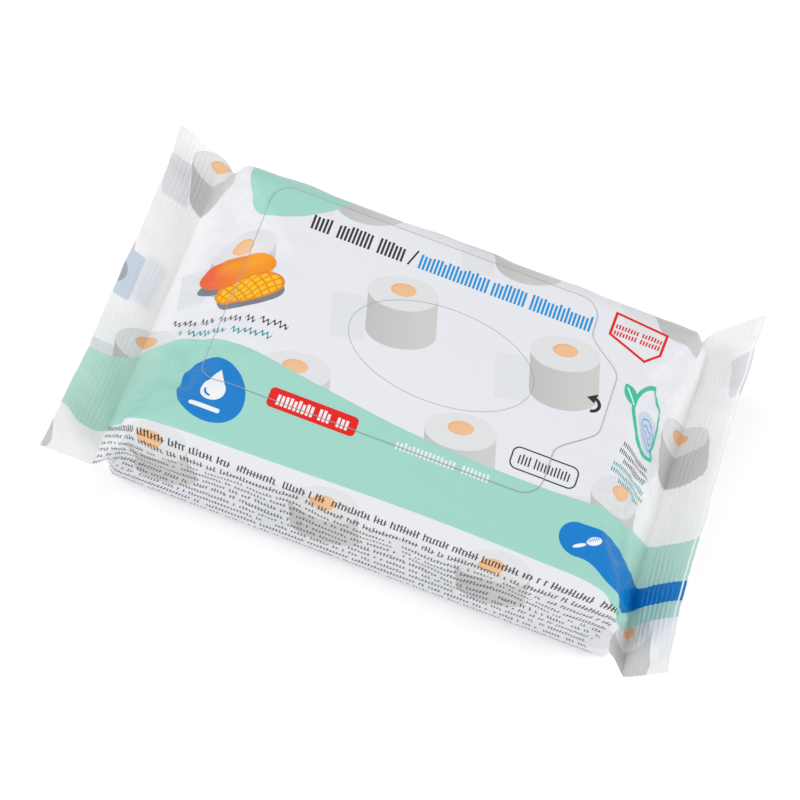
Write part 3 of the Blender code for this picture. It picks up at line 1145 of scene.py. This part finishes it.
def packPrint():
    # the whole print, from the film's own map
    tree, given, result = newTree(
        "packPrint", "ShaderNodeTree", [("Film", "NodeSocketVector")], [("Color", "NodeSocketColor")]
    )
    split = tree.nodes.new("ShaderNodeSeparateXYZ")
    tree.links.new(given.outputs["Film"], split.inputs[0])
    a = Number(tree, split.outputs[0]) * 1000
    b = Number(tree, split.outputs[1]) * 1000
    # past the back seal the film is counted on from the front
    upper, lower = upperSection()[1][-1], lowerSection()[1][-1]
    girth = (upper + lower) * 1000
    b = b - work(tree, "GREATER_THAN", b, girth / 2) * girth
    strokes, scripts = strokeMarks(), scriptMarks()
    # away from the stack the film is painted paler: painted light, for light shining through the thin
    # film
    colour = lay("film", "filmLitThrough", cover(shineThrough["from"] - abs(a), shineThrough["fade"]) * shineThrough["share"])
    marks = [rollPattern(), fieldPatches(), waveBand(), fruitPicture(), roundBadge()]
    marks += [plaqueBadge(strokes), outlinedMarks(strokes), leafMarks(strokes)]
    colour = printOver(tree, a, b, colour, [*marks, titleMarks(strokes, scripts)])
    lines = place(tree, smallPrint(), a, b)
    colour = lay(colour, "dark", Number(tree, lines.outputs["Mask"]))
    opening = ring(oval(a, b, opened["centre"], opened["radii"]), opened["line"])
    colour = lay(colour, "line", cover(opening, 0.2) * 0.8)
    tree.links.new(colour, result.inputs["Color"])
    return tree


opened = {
    "centre": (5.8, 9.2),
    "radii": (34.7, 19.75),
    "line": 0.3,
}

# where and how much the film is painted paler away from the stack, as painted light shining through it
shineThrough = {
    "from": 98,
    "fade": 16,
    "share": 0.65,
    "bandShare": 0.22,
    "offCut": 18.7,  # where the right seal's under layer shows past the upper one
}

gloss = {
    "film": {"roughness": 0.34, "crinkle": 0.3, "sheen": 0.28},
    "label": {"roughness": 0.34, "crinkle": 0.04, "sheen": 0.28},
}


def crinkleGroup():
    # fine creases of thin film, as a height
    tree, given, result = newTree(
        "filmCrinkle",
        "ShaderNodeTree",
        [("Film", "NodeSocketVector"), ("Amount", "NodeSocketFloat", 0.5)],
        [("Height", "NodeSocketFloat"), ("Haze", "NodeSocketFloat")],
    )
    scaled = tree.nodes.new("ShaderNodeMapping")
    scaled.inputs["Scale"].default_value = (130, 190, 1)
    tree.links.new(given.outputs["Film"], scaled.inputs["Vector"])
    soft = tree.nodes.new("ShaderNodeTexNoise")
    soft.inputs["Scale"].default_value = 1
    soft.inputs["Detail"].default_value = 3
    soft.inputs["Distortion"].default_value = 0.8
    tree.links.new(scaled.outputs[0], soft.inputs["Vector"])
    crease = tree.nodes.new("ShaderNodeTexVoronoi")
    crease.feature = "DISTANCE_TO_EDGE"
    crease.inputs["Scale"].default_value = 1.4
    tree.links.new(scaled.outputs[0], crease.inputs["Vector"])
    sharp = work(tree, "MULTIPLY", Number(tree, crease.outputs["Distance"]), 5, clamp=True)
    amount = Number(tree, given.outputs["Amount"])
    height = (Number(tree, soft.outputs[0]) + sharp * 0.3) * amount
    feed(tree, height, result.inputs["Height"])
    feed(tree, Number(tree, soft.outputs[0]) * 0.12, result.inputs["Haze"])
    return tree


def filmMaterial(name, printed, crinkle, finish):
    made = bpy.data.materials.new(name)
    made.use_nodes = True
    tree = made.node_tree
    shader = tree.nodes["Principled BSDF"]
    film = tree.nodes.new("ShaderNodeUVMap")
    film.uv_map = "film"
    colour = place(tree, printed, film.outputs[0]).outputs["Color"]
    amount = finish["crinkle"]
    if name == "printedLabel":
        # the label's cut rim shows as a thin grey line: partly the edge's own line, partly painted shade
        # along the edge
        rim = tree.nodes.new("ShaderNodeAttribute")
        rim.attribute_name = "fromRim"
        near = Number(tree, rim.outputs["Fac"]) * 1000 - 0.3
        colour = lay(colour, "line", cover(near, 0.2) * 0.85)
    else:
        found = []
        for attribute in ("fold", "pastRoot", "crimpShare"):
            node = tree.nodes.new("ShaderNodeAttribute")
            node.attribute_name = attribute
            found.append(Number(tree, node.outputs["Fac"]))
        fold, past, share = found
        amount = fold * amount + amount * 0.3
        # the right seal's under layer showing past the upper one, painted as a bright strip in the
        # colour of light shining through the film
        strip = cover(abs(past * 1000 - shineThrough["offCut"]) - 0.35) * work(tree, "GREATER_THAN", share, 0.9)
        colour = lay(colour, "filmLitThrough", strip)
    feed(tree, colour, shader.inputs["Base Color"])
    shader.inputs["Specular IOR Level"].default_value = finish["sheen"]
    creased = place(tree, crinkle, film.outputs[0], amount)
    feed(tree, Number(tree, creased.outputs["Haze"]) + finish["roughness"], shader.inputs["Roughness"])
    bump = tree.nodes.new("ShaderNodeBump")
    bump.inputs["Distance"].default_value = 0.0006
    bump.inputs["Strength"].default_value = 1
    tree.links.new(creased.outputs["Height"], bump.inputs["Height"])
    tree.links.new(bump.outputs[0], shader.inputs["Normal"])
    return made


def makePack():
    printed, crinkle = packPrint(), crinkleGroup()
    surface = filmMaterial("printedFilm", printed, crinkle, gloss["film"])
    film = makeFilm()
    pressRelief(film, surface)
    print("film", len(film.data.vertices), len(film.data.polygons))
    piece = makeLabel(film, filmMaterial("printedLabel", printed, crinkle, gloss["label"]))
    print("label", len(piece.data.vertices), len(piece.data.polygons))
    dressed = ((film, "film_pack", "printed_film"), (piece, "closure_label", "label_film"))
    for made, node, slot in dressed:
        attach(made, "root")
        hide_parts(node)


makePack()


# Camera, floor and lights

view = {
    "elevation": 60,
    "azimuth": 0,
    "roll": 20.5,
    "distance": 0.94,
    "lens": 117,
    "aim": (-2.4 * mm, -1.2 * mm, 21 * mm),
}

studio = {
    "above": ((-0.45, 0.15, 1.1), 0.7, 2.5),
    "front": ((0.3, -1.1, 0.55), 0.8, 2.4),
    "leftSide": ((-1.1, -0.2, 0.6), 0.6, 4.0),
    "rightSide": ((1.1, 0.0, 0.6), 0.6, 4.4),
    "worldLight": 0.545,
    "floorColour": (0.93, 0.93, 0.93),
    "floorSide": 3,
    "floorGlow": 0.2,
}


def addCamera():
    data = bpy.data.cameras.new("camera")
    data.lens = view["lens"]
    data.sensor_width = 36
    made = bpy.data.objects.new("camera", data)
    bpy.context.scene.collection.objects.link(made)
    elevation, azimuth = math.radians(view["elevation"]), math.radians(view["azimuth"])
    level = math.cos(elevation)
    back = Vector((math.sin(azimuth) * level, -math.cos(azimuth) * level, math.sin(elevation)))
    place = Matrix.Translation(Vector(view["aim"]) + back * view["distance"])
    turn = back.to_track_quat("Z", "Y").to_matrix().to_4x4()
    made.matrix_world = place @ turn @ Matrix.Rotation(math.radians(view["roll"]), 4, "Z")
    bpy.context.scene.camera = made


def plainRay(tree):
    # 1 for rays that show the background itself
    path = tree.nodes.new("ShaderNodeLightPath")
    kinds = ("Is Camera Ray", "Is Glossy Ray", "Is Transmission Ray")
    seen = [Number(tree, path.outputs[kind]) for kind in kinds]
    return most(most(seen[0], seen[1]), seen[2])


def addFloor():
    mesh = bpy.data.meshes.new("floor")
    side = studio["floorSide"]
    corners = [(-side, -side, 0), (side, -side, 0), (side, side, 0), (-side, side, 0)]
    mesh.from_pydata(corners, [], [(0, 1, 2, 3)])
    surface = bpy.data.materials.new("floor")
    surface.use_nodes = True
    tree = surface.node_tree
    shader = tree.nodes["Principled BSDF"]
    shader.inputs["Base Color"].default_value = (*studio["floorColour"], 1)
    shader.inputs["Roughness"].default_value = 0.9
    shader.inputs["Specular IOR Level"].default_value = 0
    shader.inputs["Emission Color"].default_value = (1, 1, 1, 1)
    feed(tree, plainRay(tree) * studio["floorGlow"], shader.inputs["Emission Strength"])
    mesh.materials.append(surface)
    floor = bpy.data.objects.new("floor", mesh)
    bpy.context.scene.collection.objects.link(floor)


def addLight(name, place, size, power):
    data = bpy.data.lights.new(name, "AREA")
    data.shape = "DISK"
    data.size = size
    data.energy = power
    made = bpy.data.objects.new(name, data)
    made.location = place
    made.rotation_euler = (-Vector(place)).to_track_quat("-Z", "Y").to_euler()
    bpy.context.scene.collection.objects.link(made)


def addWorld():
    world = bpy.data.worlds.new("studio")
    world.use_nodes = True
    tree = world.node_tree
    sky = tree.nodes["Background"]
    sky.inputs["Color"].default_value = (1, 1, 1, 1)
    light = studio["worldLight"]
    feed(tree, plainRay(tree) * (1 - light) + light, sky.inputs["Strength"])
    bpy.context.scene.world = world


addCamera()
addFloor()
addLight("above", *studio["above"])
addLight("front", *studio["front"])
addLight("left side", *studio["leftSide"])
addLight("right side", *studio["rightSide"])
addWorld()
bpy.context.scene.view_settings.view_transform = "Standard"
print("camera, floor and lights")
